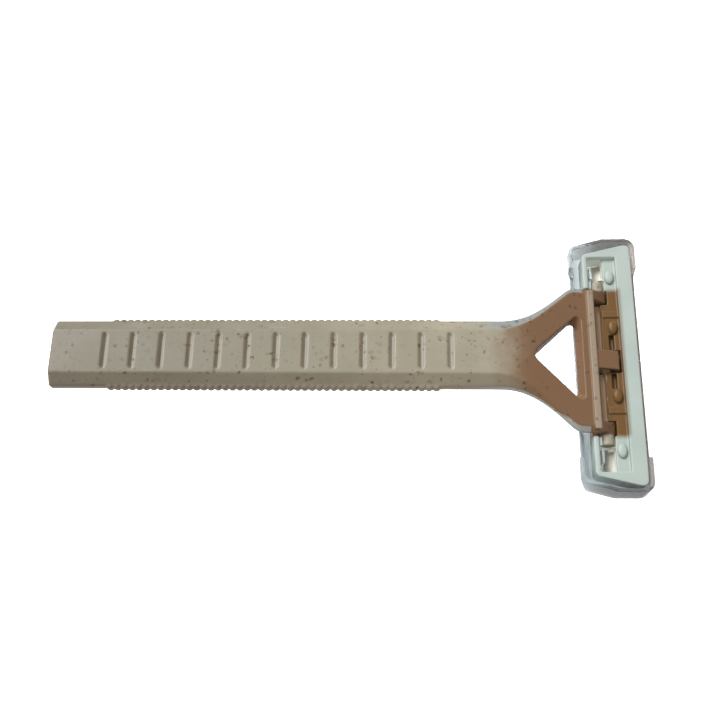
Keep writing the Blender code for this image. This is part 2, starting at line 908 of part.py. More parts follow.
def make_strip(parts, tools, parent, material):
    low = (strip_near + strip_clearance, -strip_half + strip_clearance, shave_plane - strip_clearance)
    high = (
        strip_near + strip_width - strip_clearance,
        strip_half - strip_clearance,
        shave_plane + strip_depth - strip_clearance,
    )
    work = Builder("lubricating_strip", box_mesh("strip", low, high), parts, tools, material)
    return work.finish(parent)


def cover_section(inset):
    """Side view of the clear cap: a slanted toe under the guard and an upright rear wall."""
    top = cover_ear + overrun
    floor = cover_low + inset * cover_floor / cover_wall
    low_near = cover_near + inset
    high_near = low_near - cover_flare
    far = cover_far - inset
    return [(low_near, floor), (far, floor), (far, top), (high_near, top), (high_near, 0.0)]


def cover_plan(inset):
    near = cover_near - cover_flare + inset
    far = cover_far - inset
    half = cover_half - inset
    half_toe = half - cover_taper
    return [
        (near, -half_toe),
        (cover_knee, -half),
        (far, -half),
        (far, half),
        (cover_knee, half),
        (near, half_toe),
    ]


def cover_shape(name, inset, parts, tools, material=None):
    """The cap's outer form, or its hollow when drawn a wall's thickness smaller."""
    top = cover_ear + 2 * overrun
    side = rounded(cover_section(inset), cover_round - inset)
    mesh = plate_mesh(name, side, -cover_half - overrun, cover_half + overrun, "XZ")
    work = Builder(name, mesh, parts, tools, material)
    plan = rounded(cover_plan(inset), cover_corner - inset)
    work.keep(plate_mesh("plan", plan, cover_low - overrun, top + overrun, "XY"))
    return work


def make_cover(parts, tools, parent, material):
    top = cover_ear + 3 * overrun
    hollow = cover_shape("cover_hollow", cover_wall, tools, tools).finish(None)
    work = cover_shape("protective_cap", 0.0, parts, tools, material)
    work.cut(hollow.data.copy())
    bpy.data.objects.remove(hollow)

    near = cover_near - cover_flare - overrun
    far = cover_far + overrun
    slant = [(near, cover_ear_near), (far, cover_ear_far), (far, top), (near, top)]
    work.cut(plate_mesh("rim_cut", slant, -cover_half - overrun, cover_half + overrun, "XZ"))
    sides = [
        (-cover_ear_inner, cover_side_low),
        (cover_ear_inner, cover_side_low),
        (cover_ear_outer, top),
        (-cover_ear_outer, top),
    ]
    work.cut(plate_mesh("side_cut", sides, near, far, "YZ"))

    room = (guard_far + guard_lip + blade_edge_u) / 2
    prongs = []
    for end in (1, -1):
        inner, outer = sorted((end * prong_inner, end * prong_outer))
        low = (room - prong_thickness / 2, inner, shave_plane - cover_face_gap - overlap)
        high = (room + prong_thickness / 2, outer, prong_top)
        prongs.append(box_mesh("prong", low, high))
    work.join(together("prongs", prongs))
    return work.finish(parent)


def shade(pieces):
    for piece in pieces:
        piece.data.shade_smooth()
        piece.data.set_sharp_from_angle(angle=smooth_angle)


def bounds(pieces):
    points = [piece.matrix_world @ vertex.co for piece in pieces for vertex in piece.data.vertices]
    low = Vector(min(point[axis] for point in points) for axis in range(3))
    high = Vector(max(point[axis] for point in points) for axis in range(3))
    return low, high


def settle(root, handle, cover, pieces):
    """Lay the razor on its tail and its cap, with the origin under the middle of its box."""
    for _ in range(settle_rounds):
        bpy.context.view_layer.update()
        gap = bounds([handle])[0].z - bounds([cover])[0].z
        root.rotation_euler.y -= gap / pivot_x
    bpy.context.view_layer.update()
    low, high = bounds(pieces)
    root.location.x -= (low.x + high.x) / 2
    root.location.y -= (low.y + high.y) / 2
    root.location.z -= low.z
    bpy.context.view_layer.update()


def main():
    clear_objects()
    parts = make_collection(collection_name)
    tools = make_collection(cutter_collection_name)
    straw = make_material("straw_plastic", (0.36, 0.31, 0.24), 0.55)
    white = make_material("white_plastic", (0.60, 0.64, 0.55), 0.4)
    grey = make_material("spacer_plastic", (0.45, 0.47, 0.44), 0.5)
    steel = make_material("blade_steel", (0.62, 0.62, 0.60), 0.25, metallic=1.0)
    gel = make_material("strip_gel", (0.45, 0.58, 0.50), 0.6)
    clear = make_material("clear_plastic", (0.85, 0.88, 0.88), 0.08, transmission=1.0)

    root = make_empty("razor", parts)
    head = make_empty("head_pivot", parts, root, (pivot_x, 0, pivot_z), head_tilt)
    stack = make_empty("blade_bed", parts, head, (blade_edge_u, 0, blade_edge_w), blade_angle)

    handle = make_handle(parts, tools, root, straw)
    seat = make_seat(parts, tools, head, white)
    lower = make_blade("seat_blade", 0.0, 0.0, parts, tools, stack, steel)
    upper = make_blade("cap_blade", blade_span * cos(blade_angle), upper_offset, parts, tools, stack, steel)
    spacer = make_spacer(parts, tools, stack, grey)
    cap = make_cartridge_cap(parts, tools, head, white)
    strip = make_strip(parts, tools, head, gel)
    cover = make_cover(parts, tools, head, clear)
    pieces = [handle, seat, lower, spacer, upper, cap, strip, cover]
    shade(pieces)
    settle(root, handle, cover, pieces)
    print("pivot at", tuple(round(value, 6) for value in head.matrix_world.translation))
    print("head up", tuple(round(value, 6) for value in head.matrix_world.to_3x3() @ Vector((0, 0, 1))))


main()
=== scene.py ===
from math import radians

import bmesh
import bpy
from mathutils import Matrix, Vector


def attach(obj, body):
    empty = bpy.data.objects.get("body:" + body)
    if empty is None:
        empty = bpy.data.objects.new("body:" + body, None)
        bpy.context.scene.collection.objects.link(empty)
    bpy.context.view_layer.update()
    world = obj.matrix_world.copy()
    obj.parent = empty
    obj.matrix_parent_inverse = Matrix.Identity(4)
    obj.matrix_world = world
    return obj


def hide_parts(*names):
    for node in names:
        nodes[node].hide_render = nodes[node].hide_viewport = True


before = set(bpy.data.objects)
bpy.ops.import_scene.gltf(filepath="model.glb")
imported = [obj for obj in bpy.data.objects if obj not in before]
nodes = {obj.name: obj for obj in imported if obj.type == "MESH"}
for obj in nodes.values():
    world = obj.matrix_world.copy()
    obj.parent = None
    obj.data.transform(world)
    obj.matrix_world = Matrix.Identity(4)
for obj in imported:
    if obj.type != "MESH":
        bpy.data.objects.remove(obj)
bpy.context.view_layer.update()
mm = 0.001
print("frame loaded")


# how the razor lies and where the camera stands, measured from the tail of the handle. Lengths are in
# millimetres and angles in degrees, in shot and in the looks, plans and studio values further down
shot = {
    "razorTilt": -2.7177,
    "tailX": -47.9073,
    "tailZ": 4.9748,
    "imageSize": 720,
    "focalPixels": 937.11,
    "sensorWidth": 36.0,
    "aimX": 50.097,
    "aimY": -1.577,
    "distance": 147.951,
    "pitch": 19.939,
    "yaw": 2.938,
    "roll": 1.1157,
    "clipStart": 5.0,
}


def razorFrame():
    place = Matrix.Translation((shot["tailX"] * mm, 0, shot["tailZ"] * mm))
    return place @ Matrix.Rotation(radians(shot["razorTilt"]), 4, "Y")


def makeCamera():
    data = bpy.data.cameras.new("shotCamera")
    data.sensor_width = shot["sensorWidth"]
    data.lens = shot["focalPixels"] * shot["sensorWidth"] / shot["imageSize"]
    data.clip_start = shot["clipStart"] * mm
    camera = bpy.data.objects.new("shotCamera", data)
    bpy.context.scene.collection.objects.link(camera)
    turn = Matrix.Rotation(radians(shot["yaw"]), 4, "Y") @ Matrix.Rotation(radians(shot["pitch"]), 4, "X")
    turn = turn @ Matrix.Rotation(radians(shot["roll"]), 4, "Z")
    aim = Matrix.Translation((shot["aimX"] * mm, shot["aimY"] * mm, 0))
    camera.matrix_world = razorFrame() @ aim @ turn @ Matrix.Translation((0, 0, shot["distance"] * mm))
    bpy.context.scene.camera = camera


makeCamera()
print("camera placed")


# small helpers for shader nodes
def addNode(tree, kind, **settings):
    node = tree.nodes.new(kind)
    for key, value in settings.items():
        setattr(node, key, value)
    return node


def feed(tree, target, source):
    # a socket is linked, anything else is written on the input
    if isinstance(source, bpy.types.NodeSocket):
        tree.links.new(source, target)
    else:
        target.default_value = source


def calc(tree, operation, *values):
    node = addNode(tree, "ShaderNodeMath", operation=operation)
    for socket, value in zip(node.inputs, values):
        feed(tree, socket, value)
    return node.outputs[0]


def product(tree, first, *others):
    for other in others:
        first = calc(tree, "MULTIPLY", first, other)
    return first


def calcVector(tree, operation, first, second):
    node = addNode(tree, "ShaderNodeVectorMath", operation=operation)
    feed(tree, node.inputs[0], first)
    feed(tree, node.inputs["Scale"] if operation == "SCALE" else node.inputs[1], second)
    return node.outputs[0]


def splitVector(tree, source):
    node = addNode(tree, "ShaderNodeSeparateXYZ")
    feed(tree, node.inputs[0], source)
    return node.outputs


def ramp(tree, value, low, high, start=0.0, end=1.0):
    # smooth change from start to end as value goes from low to high
    node = addNode(tree, "ShaderNodeMapRange", interpolation_type="SMOOTHSTEP")
    settings = {"Value": value, "From Min": low, "From Max": high, "To Min": start, "To Max": end}
    for name, item in settings.items():
        feed(tree, node.inputs[name], item)
    return node.outputs["Result"]


def rise(tree, value, span):
    # none before the span, which is in millimetres, and all after it
    low, high = span
    return ramp(tree, value, low * mm, high * mm)


def fall(tree, value, span):
    # all before the span, which is in millimetres, and none after it
    low, high = span
    return ramp(tree, value, low * mm, high * mm, 1.0, 0.0)


def blendColour(tree, share, first, second, mode="MIX"):
    node = addNode(tree, "ShaderNodeMix", data_type="RGBA", blend_type=mode)
    feed(tree, node.inputs["Factor"], share)
    sockets = [item for item in node.inputs if item.type == "RGBA"]
    for socket, colour in zip(sockets, (first, second)):
        feed(tree, socket, colour if isinstance(colour, bpy.types.NodeSocket) else (*colour, 1.0))
    return [item for item in node.outputs if item.type == "RGBA"][0]


def addNoise(tree, place, scale, detail=2.0):
    node = addNode(tree, "ShaderNodeTexNoise")
    feed(tree, node.inputs["Vector"], place)
    feed(tree, node.inputs["Scale"], scale)
    feed(tree, node.inputs["Detail"], detail)
    return node.outputs


def newGroup(name, inputs, outputs):
    tree = bpy.data.node_groups.new(name, "ShaderNodeTree")
    for label, kind, value in inputs:
        socket = tree.interface.new_socket(name=label, in_out="INPUT", socket_type=kind)
        if value is not None:
            socket.default_value = value
    for label, kind in outputs:
        tree.interface.new_socket(name=label, in_out="OUTPUT", socket_type=kind)
    start = tree.nodes.new("NodeGroupInput")
    end = tree.nodes.new("NodeGroupOutput")
    return tree, start.outputs, end.inputs


def useGroup(tree, group, **values):
    node = addNode(tree, "ShaderNodeGroup", node_tree=group)
    for label, value in values.items():
        feed(tree, node.inputs[label], value)
    return node.outputs


number = "NodeSocketFloat"
vector = "NodeSocketVector"


def makePlaceGroup():
    # places measured along, across and above a piece that lies tilted about Y
    tree, source, result = newGroup(
        "localPlace",
        [("Place", vector, None), ("Origin", vector, None), ("Turn", vector, None)],
        [("Along", number), ("Across", number), ("Side", number), ("Up", number)],
    )
    mapping = addNode(tree, "ShaderNodeMapping", vector_type="TEXTURE")
    feed(tree, mapping.inputs["Vector"], source["Place"])
    feed(tree, mapping.inputs["Location"], source["Origin"])
    feed(tree, mapping.inputs["Rotation"], source["Turn"])
    parts = splitVector(tree, mapping.outputs[0])
    feed(tree, result["Along"], parts["X"])
    feed(tree, result["Across"], parts["Y"])
    feed(tree, result["Side"], calc(tree, "ABSOLUTE", parts["Y"]))
    feed(tree, result["Up"], parts["Z"])
    return tree


# shares of a speck's cell or size
fleckShape = {
    "raggedScale": 2.2,
    "raggedDetail": 2.0,
    "raggedReach": 0.75,
    "ownSize": (0.45, 1.25),
    "softEdge": (0.55, 1.25),
    "ownStrength": (0.3, 1.0),
}


def makeFleckGroup():
    # ragged specks of many sizes: each Voronoi cell holds one, and a share of the cells none
    shape = fleckShape
    tree, source, result = newGroup(
        "flecks",
        [("Place", vector, None), ("Scale", number, 400.0), ("Size", number, 0.2), ("Share", number, 0.5)],
        [("Mask", number)],
    )
    noiseScale = calc(tree, "MULTIPLY", source["Scale"], shape["raggedScale"])
    wobble = addNoise(tree, source["Place"], noiseScale, shape["raggedDetail"])["Color"]
    reach = calc(tree, "DIVIDE", shape["raggedReach"], source["Scale"])
    ragged = calcVector(tree, "SCALE", calcVector(tree, "SUBTRACT", wobble, (0.5, 0.5, 0.5)), reach)
    cells = addNode(tree, "ShaderNodeTexVoronoi", feature="F1")
    feed(tree, cells.inputs["Vector"], calcVector(tree, "ADD", source["Place"], ragged))
    feed(tree, cells.inputs["Scale"], source["Scale"])
    feed(tree, cells.inputs["Randomness"], 1.0)
    parts = addNode(tree, "ShaderNodeSeparateColor")
    feed(tree, parts.inputs["Color"], cells.outputs["Color"])
    chosen = calc(tree, "LESS_THAN", parts.outputs["Red"], source["Share"])
    ownSize = ramp(tree, parts.outputs["Green"], 0.0, 1.0, *shape["ownSize"])
    ownSize = calc(tree, "MULTIPLY", source["Size"], ownSize)
    inner, outer = [calc(tree, "MULTIPLY", ownSize, share) for share in shape["softEdge"]]
    spot = ramp(tree, cells.outputs["Distance"], inner, outer, 1.0, 0.0)
    strength = ramp(tree, parts.outputs["Blue"], 0.0, 1.0, *shape["ownStrength"])
    feed(tree, result["Mask"], product(tree, spot, chosen, strength))
    return tree


grainShape = {"fineDetail": 3.0, "broadDetail": 4.0, "cloudFrom": (0.3, 0.7)}


def makeGrainGroup():
    # fine moulded skin: a height for bump and a slow light and dark change
    shape = grainShape
    tree, source, result = newGroup(
        "mouldedGrain",
        [("Place", vector, None), ("Fine", number, 3000.0), ("Broad", number, 60.0)],
        [("Height", number), ("Cloud", number)],
    )
    fine = addNoise(tree, source["Place"], source["Fine"], shape["fineDetail"])["Fac"]
    broad = addNoise(tree, source["Place"], source["Broad"], shape["broadDetail"])["Fac"]
    feed(tree, result["Height"], fine)
    feed(tree, result["Cloud"], ramp(tree, broad, *shape["cloudFrom"]))
    return tree


# flat skin has a pointiness of 0.5
edgeShape = {"edgeStart": 0.505, "cornerStart": 0.495}


def makeEdgeGroup():
    # where the softened skin bends outward, on an edge, and inward, in a corner: masks for painted
    # highlights on edges and painted shade in inner corners
    tree, source, result = newGroup(
        "edgeAndCorner", [("Bend", number, 0.06)], [("Edge", number), ("Corner", number)]
    )
    bend = addNode(tree, "ShaderNodeNewGeometry").outputs["Pointiness"]
    start = edgeShape["edgeStart"]
    feed(tree, result["Edge"], ramp(tree, bend, start, calc(tree, "ADD", start, source["Bend"])))
    start = edgeShape["cornerStart"]
    feed(tree, result["Corner"], ramp(tree, bend, start, calc(tree, "SUBTRACT", start, source["Bend"])))
    return tree


placeGroup = makePlaceGroup()
fleckGroup = makeFleckGroup()
grainGroup = makeGrainGroup()
edgeGroup = makeEdgeGroup()
print("shared effects built")


def newMaterial(name):
    material = bpy.data.materials.new(name)
    material.use_nodes = True
    tree = material.node_tree
    return material, tree, tree.nodes["Principled BSDF"]


def addBump(tree, shader, height, strength, depth):
    bump = addNode(tree, "ShaderNodeBump")
    feed(tree, bump.inputs["Height"], height)
    bump.inputs["Strength"].default_value = strength
    bump.inputs["Distance"].default_value = depth * mm
    feed(tree, shader.inputs["Normal"], bump.outputs["Normal"])


def addSkin(tree, shader, colour, grain, look):
    # colour, a roughness that follows the clouds of the grain, and the grain as bump
    feed(tree, shader.inputs["Base Color"], colour)
    feed(tree, shader.inputs["Roughness"], ramp(tree, grain["Cloud"], 0.0, 1.0, *look["roughness"]))
    addBump(tree, shader, grain["Height"], *look["bump"])


# the razor's own place, from the tail, and the head's own place, from its pivot, for masks
headShape = {"pivotX": 41.25, "pivotZ": 3.797, "tilt": -2.0}
razorPlace = {
    "Origin": (shot["tailX"] * mm, 0.0, shot["tailZ"] * mm),
    "Turn": (0.0, radians(shot["razorTilt"]), 0.0),
}
headPlace = {
    "Origin": (headShape["pivotX"] * mm, 0.0, headShape["pivotZ"] * mm),
    "Turn": (0.0, radians(shot["razorTilt"] + headShape["tilt"]), 0.0),
}


# a name in From gives the span in which an effect starts, in To where it ends, in Half how far it reaches to
# either side of the middle, in Level its height, and in Facing the part of the normal that it follows
strawLook = {
    "base": (0.206, 0.185, 0.132),
    "pale": (0.236, 0.213, 0.156),
    "grain": {"Fine": 2600.0, "Broad": 140.0},
    "tone": (0.80, 1.27),
    "toneFrom": (8.0, 80.0),
    # painted shade on the lower side, and painted light and painted shade on the grooves' walls
    "lowShade": (0.88, 0.80, 0.76),
    "lowFacing": (-0.75, -0.25),
    "wallPaintedLight": (0.297, 0.281, 0.235),
    "wallShade": (0.98, 0.90, 0.87),
    "wallFacing": (0.1, 0.4),
    "grooveFacing": (0.2, 0.5),
    "grooveFrom": (6.0, 8.0),
    "grooveTo": (66.0, 68.0),
    "grooveHalf": (3.3, 3.6),
    # painted cool light on the yoke's sides
    "sidePaintedLight": (0.290, 0.292, 0.272),
    "upperSidePaintedLight": (0.205, 0.222, 0.214),
    "sideFrom": (66.0, 74.0),
    "topFacing": (0.86, 0.955),
    "middleBlend": 1.0,
    "lowerShift": 0.22,
    "lowerShiftTo": (79.5, 83.5),
    # painted warm shade, partly a browner tone of the straw
    "brown": (0.165, 0.088, 0.042),
    "brownFrom": (69.5, 77.5),
    "brownHalf": (12.15, 12.4),
    "drift": 6.0,
    "driftScale": 300.0,
    "windowTip": 76.3,
    "windowSpread": 0.93,
    "windowFrom": (-0.1, 0.3),
    "headFrom": (86.0, 86.3),
    # painted light on the top of the bar
    "ridge": (0.260, 0.205, 0.142),
    "ridgeShare": 0.9,
    "ridgeFrom": (86.68, 86.92),
    "ridgeTo": (87.98, 88.22),
    "ridgeLevel": (-3.1, -2.9),
    "pin": (0.300, 0.270, 0.205),
    "pinFrom": (87.8, 88.0),
    "pinHalf": (12.25, 12.45),
    "fleck": (0.066, 0.034, 0.022),
    "faintFleck": (0.125, 0.088, 0.062),
    "crowdScale": 160.0,
    "crowdFrom": (0.36, 0.62),
    "crowdLeast": 0.25,
    "faint": {"Scale": 860.0, "Size": 0.32, "Share": 0.7},
    "faintStrength": 0.6,
    "tiny": {"Scale": 1700.0, "Size": 0.23},
    "tinyShare": 0.8,
    "tinyStrength": 0.75,
    "bold": {"Scale": 900.0, "Size": 0.25},
    "boldStrength": 0.8,
    # painted highlights on edges and painted shade in inner corners
    "bend": 0.07,
    "edgeHighlight": 0.16,
    "cornerShade": 0.35,
    "roughness": (0.45, 0.58),
    "specular": 0.35,
    "bump": (0.3, 0.05),
}


def makeStraw():
    look = strawLook
    material, tree, shader = newMaterial("speckledStraw")
    where = addNode(tree, "ShaderNodeTexCoord").outputs
    place = where["Object"]
    faces = splitVector(tree, where["Normal"])
    local = useGroup(tree, placeGroup, Place=place, **razorPlace)
    along = local["Along"]
    across = local["Across"]
    side = local["Side"]
    grain = useGroup(tree, grainGroup, Place=place, **look["grain"])
    edge = useGroup(tree, edgeGroup, Bend=look["bend"])
    colour = blendColour(tree, grain["Cloud"], look["base"], look["pale"])

    # the grip is lighter towards the yoke, and painted shade makes its lower side, which faces away from the
    # light, darker and warmer
    start, end = look["toneFrom"]
    tone = ramp(tree, along, start * mm, end * mm, *look["tone"])
    colour = calcVector(tree, "SCALE", colour, tone)
    lowerSideShade = ramp(tree, faces["Y"], *look["lowFacing"], 1.0, 0.0)
    colour = blendColour(tree, lowerSideShade, colour, look["lowShade"], "MULTIPLY")

    # the grooves' walls: painted light on the right ones, which face the key, and painted shade, a little
    # warmer, on the left ones
    grooved = product(
        tree,
        ramp(tree, faces["Z"], *look["grooveFacing"]),
        rise(tree, along, look["grooveFrom"]),
        fall(tree, along, look["grooveTo"]),
        fall(tree, side, look["grooveHalf"]),
    )
    gentle, steep = look["wallFacing"]
    litRightWall = calc(tree, "MULTIPLY", grooved, ramp(tree, faces["X"], -steep, -gentle, 1.0, 0.0))
    shadedLeftWall = calc(tree, "MULTIPLY", grooved, ramp(tree, faces["X"], gentle, steep))
    colour = blendColour(tree, litRightWall, colour, look["wallPaintedLight"])
    colour = blendColour(tree, shadedLeftWall, colour, look["wallShade"], "MULTIPLY")

    # painted cool light makes the yoke's sides pale: darker on the upper side, which the key lights, lighter
    # on the lower side, which lies in shade; on its lower half the colour of the top comes further down, up
    # to the window
    middle = look["middleBlend"] * mm
    shift = ramp(tree, across, -middle, middle, look["lowerShift"], 0.0)
    shift = calc(tree, "MULTIPLY", shift, fall(tree, along, look["lowerShiftTo"]))
    onTop = ramp(tree, calc(tree, "ADD", faces["Z"], shift), *look["topFacing"])
    onSide = calc(tree, "MULTIPLY", rise(tree, along, look["sideFrom"]), calc(tree, "SUBTRACT", 1.0, onTop))
    sideColour = blendColour(
        tree, ramp(tree, across, -middle, middle), look["sidePaintedLight"], look["upperSidePaintedLight"]
    )
    colour = blendColour(tree, onSide, colour, sideColour)

    # warm brown on what faces up, in the window's walls and round the pivot: painted warm shade, partly a
    # browner tone of the straw
    pastTip = calc(tree, "SUBTRACT", along, look["windowTip"] * mm)
    spread = calc(tree, "MULTIPLY", pastTip, look["windowSpread"])
    inWindow = rise(tree, calc(tree, "SUBTRACT", spread, side), look["windowFrom"])
    covered = calc(tree, "MAXIMUM", onTop, inWindow)
    covered = calc(tree, "MAXIMUM", covered, rise(tree, along, look["headFrom"]))
    uneven = addNoise(tree, place, look["driftScale"])["Fac"]
    drift = calc(tree, "MULTIPLY", calc(tree, "SUBTRACT", uneven, 0.5), look["drift"] * mm)
    lengthwise = rise(tree, calc(tree, "ADD", along, drift), look["brownFrom"])
    brown = product(tree, lengthwise, covered, fall(tree, side, look["brownHalf"]))
    colour = blendColour(tree, brown, colour, look["brown"])

    # painted light: a pale strip along the top of the raised bar, which faces the light; and cream pins
    strip = product(
        tree,
        rise(tree, along, look["ridgeFrom"]),
        fall(tree, along, look["ridgeTo"]),
        rise(tree, local["Up"], look["ridgeLevel"]),
    )
    colour = blendColour(tree, calc(tree, "MULTIPLY", strip, look["ridgeShare"]), colour, look["ridge"])
    onPin = calc(tree, "MULTIPLY", rise(tree, side, look["pinHalf"]), rise(tree, along, look["pinFrom"]))
    colour = blendColour(tree, onPin, colour, look["pin"])

    # specks gather in some places and are rare in others
    crowd = addNoise(tree, place, look["crowdScale"])["Fac"]
    crowded = ramp(tree, crowd, *look["crowdFrom"], look["crowdLeast"], 1.0)
    faint = useGroup(tree, fleckGroup, Place=place, **look["faint"])["Mask"]
    faint = product(tree, faint, crowded, look["faintStrength"])
    colour = blendColour(tree, faint, colour, look["faintFleck"])
    tinyShare = calc(tree, "MULTIPLY", crowded, look["tinyShare"])
    tiny = useGroup(tree, fleckGroup, Place=place, Share=tinyShare, **look["tiny"])["Mask"]
    tiny = calc(tree, "MULTIPLY", tiny, look["tinyStrength"])
    colour = blendColour(tree, tiny, colour, look["faintFleck"])
    bold = useGroup(tree, fleckGroup, Place=place, Share=crowded, **look["bold"])["Mask"]
    bold = calc(tree, "MULTIPLY", bold, look["boldStrength"])
    colour = blendColour(tree, bold, colour, look["fleck"])

    # painted highlights make edges a little lighter, and painted shade darkens inner corners
    edgeHighlight = calc(tree, "MULTIPLY", edge["Edge"], look["edgeHighlight"])
    colour = blendColour(tree, edgeHighlight, colour, look["sidePaintedLight"])
    cornerShade = calc(tree, "MULTIPLY", edge["Corner"], look["cornerShade"])
    colour = blendColour(tree, cornerShade, colour, look["faintFleck"])
    shader.inputs["Specular IOR Level"].default_value = look["specular"]
    addSkin(tree, shader, colour, grain, look)
    return material


whiteLook = {
    "base": (0.332, 0.388, 0.354),
    "pale": (0.362, 0.418, 0.384),
    "grain": {"Fine": 2200.0, "Broad": 160.0},
    # painted warm shade on the head's back, and painted light and a painted glow in the channel
    "tint": (0.125, 0.061, 0.013),
    "tintTo": (2.9, 3.9),
    "tintHalf": (12.0, 13.1),
    "tintLevel": (-1.4, -0.7),
    "channelTint": (0.360, 0.245, 0.150),
    "channelPaintedGlow": (0.045, 0.030, 0.016),
    "channelTo": (1.1, 1.5),
    "deepLevel": (-0.1, 0.3),
    # painted light and a painted glow in the end windows
    "wellPaintedLight": (0.780, 0.780, 0.700),
    "wellPaintedGlow": (0.120, 0.119, 0.098),
    "wellFrom": (-2.2, -1.9),
    "wellTo": (2.2, 2.6),
    "wellHalf": (18.2, 18.6),
    # painted warm light on the back faces
    "backWarmLight": (0.560, 0.420, 0.345),
    "backFrom": (5.0, 5.3),
    "backFacing": (0.4, 0.8),
    # painted light on the lower end
    "endPaintedLight": (0.640, 0.690, 0.650),
    "endFrom": (16.0, 17.0),
    "endFacing": (-0.7, -0.3),
    # painted highlights on edges
    "bend": 0.08,
    "edgeHighlight": 0.25,
    "roughness": (0.38, 0.48),
    "specular": 0.32,
    "bump": (0.12, 0.04),
}
unlit = (0.0, 0.0, 0.0)


def makeWhite(name):
    look = whiteLook
    material, tree, shader = newMaterial(name)
    where = addNode(tree, "ShaderNodeTexCoord").outputs
    place = where["Object"]
    faces = splitVector(tree, where["Normal"])
    local = useGroup(tree, placeGroup, Place=place, **headPlace)
    along = local["Along"]
    side = local["Side"]
    grain = useGroup(tree, grainGroup, Place=place, **look["grain"])
    edge = useGroup(tree, edgeGroup, Bend=look["bend"])
    colour = blendColour(tree, grain["Cloud"], look["base"], look["pale"])

    # painted warm shade on the middle of the head's back, standing in for the yoke's shadow and its brown
    # bounce light, and lighter, with a faint painted glow, in the channel beside the bar
    warmShaded = product(
        tree,
        fall(tree, side, look["tintHalf"]),
        fall(tree, along, look["tintTo"]),
        rise(tree, local["Up"], look["tintLevel"]),
    )
    deep = fall(tree, local["Up"], look["deepLevel"])
    inChannel = calc(tree, "MULTIPLY", deep, fall(tree, along, look["channelTo"]))
    tint = blendColour(tree, inChannel, look["tint"], look["channelTint"])
    colour = blendColour(tree, warmShaded, colour, tint)
    glow = blendColour(tree, calc(tree, "MULTIPLY", warmShaded, inChannel), unlit, look["channelPaintedGlow"])

    # painted light in the two end windows: a pale colour and a painted glow, standing in for light that
    # comes through their thin walls
    inWell = product(
        tree,
        rise(tree, side, look["tintHalf"]),
        fall(tree, side, look["wellHalf"]),
        rise(tree, along, look["wellFrom"]),
        fall(tree, along, look["wellTo"]),
        deep,
    )
    colour = blendColour(tree, inWell, colour, look["wellPaintedLight"])
    feed(tree, shader.inputs["Emission Color"], blendColour(tree, inWell, glow, look["wellPaintedGlow"]))
    shader.inputs["Emission Strength"].default_value = 1.0

    # painted warm light on the faces that look back, painted light on the lower end, which faces away from
    # the key, and painted highlights on edges
    atBack = calc(
        tree, "MULTIPLY", ramp(tree, faces["X"], *look["backFacing"]), rise(tree, along, look["backFrom"])
    )
    colour = blendColour(tree, atBack, colour, look["backWarmLight"])
    litLowerEnd = ramp(tree, faces["Y"], *look["endFacing"], 1.0, 0.0)
    litLowerEnd = calc(tree, "MULTIPLY", litLowerEnd, rise(tree, side, look["endFrom"]))
    colour = blendColour(tree, litLowerEnd, colour, look["endPaintedLight"])
    edgeHighlight = calc(tree, "MULTIPLY", edge["Edge"], look["edgeHighlight"])
    colour = blendColour(tree, edgeHighlight, colour, look["pale"])
    shader.inputs["Specular IOR Level"].default_value = look["specular"]
    addSkin(tree, shader, colour, grain, look)
    return material


steelLook = {
    "base": (0.64, 0.62, 0.57),
    "dark": (0.50, 0.48, 0.44),
    "stretch": (1.0, 0.03, 1.0),
    "streakScale": 9000.0,
    "streakFrom": (0.3, 0.7),
    "roughness": (0.54, 0.66),
    "bump": (0.1, 0.01),
}


def makeSteel():
    # brushed along the blades
    look = steelLook
    material, tree, shader = newMaterial("bladeSteel")
    stretch = addNode(tree, "ShaderNodeMapping")
    feed(tree, stretch.inputs["Vector"], addNode(tree, "ShaderNodeTexCoord").outputs["Object"])
    stretch.inputs["Scale"].default_value = look["stretch"]
    streaks = addNoise(tree, stretch.outputs[0], look["streakScale"])["Fac"]
    brushed = ramp(tree, streaks, *look["streakFrom"])
    feed(tree, shader.inputs["Base Color"], blendColour(tree, brushed, look["dark"], look["base"]))
    shader.inputs["Metallic"].default_value = 1.0
    feed(tree, shader.inputs["Roughness"], ramp(tree, brushed, 0.0, 1.0, *look["roughness"]))
    addBump(tree, shader, streaks, *look["bump"])
    return material


spacerLook = {
    "base": (0.40, 0.42, 0.39),
    "pale": (0.46, 0.48, 0.45),
    "grain": {"Fine": 2500.0, "Broad": 120.0},
    "roughness": 0.5,
    "bump": (0.2, 0.04),
}
gelLook = {
    "base": (0.36, 0.52, 0.43),
    "pale": (0.52, 0.64, 0.56),
    "grain": {"Fine": 2500.0, "Broad": 220.0},
    "roughness": 0.55,
    "bump": (0.2, 0.04),
}


def makePlain(name, look):
    material, tree, shader = newMaterial(name)
    place = addNode(tree, "ShaderNodeTexCoord").outputs["Object"]
    grain = useGroup(tree, grainGroup, Place=place, **look["grain"])
    feed(tree, shader.inputs["Base Color"], blendColour(tree, grain["Cloud"], look["base"], look["pale"]))
    shader.inputs["Roughness"].default_value = look["roughness"]
    addBump(tree, shader, grain["Height"], *look["bump"])
    return material


clearLook = {
    "tint": (0.62, 0.68, 0.70),
    "pale": (0.72, 0.77, 0.785),
    "grain": {"Fine": 900.0, "Broad": 120.0},
    # painted dark reflection at the ends, painted brown reflection on the back wall, painted shade at the
    # lower end
    "endDarkReflection": (0.20, 0.180, 0.178),
    "endShare": 0.85,
    "endFrom": (20.0, 20.8),
    "backBrownReflection": (0.50, 0.430, 0.395),
    "backShare": 0.85,
    "backFrom": (5.55, 6.0),
    "lowEndShade": (0.78, 0.82, 0.83),
    "lowTo": (-19.0, -6.0),
    "roughness": (0.12, 0.18),
    "transmission": 0.66,
    "ior": 1.18,
    "bump": (0.06, 0.02),
}


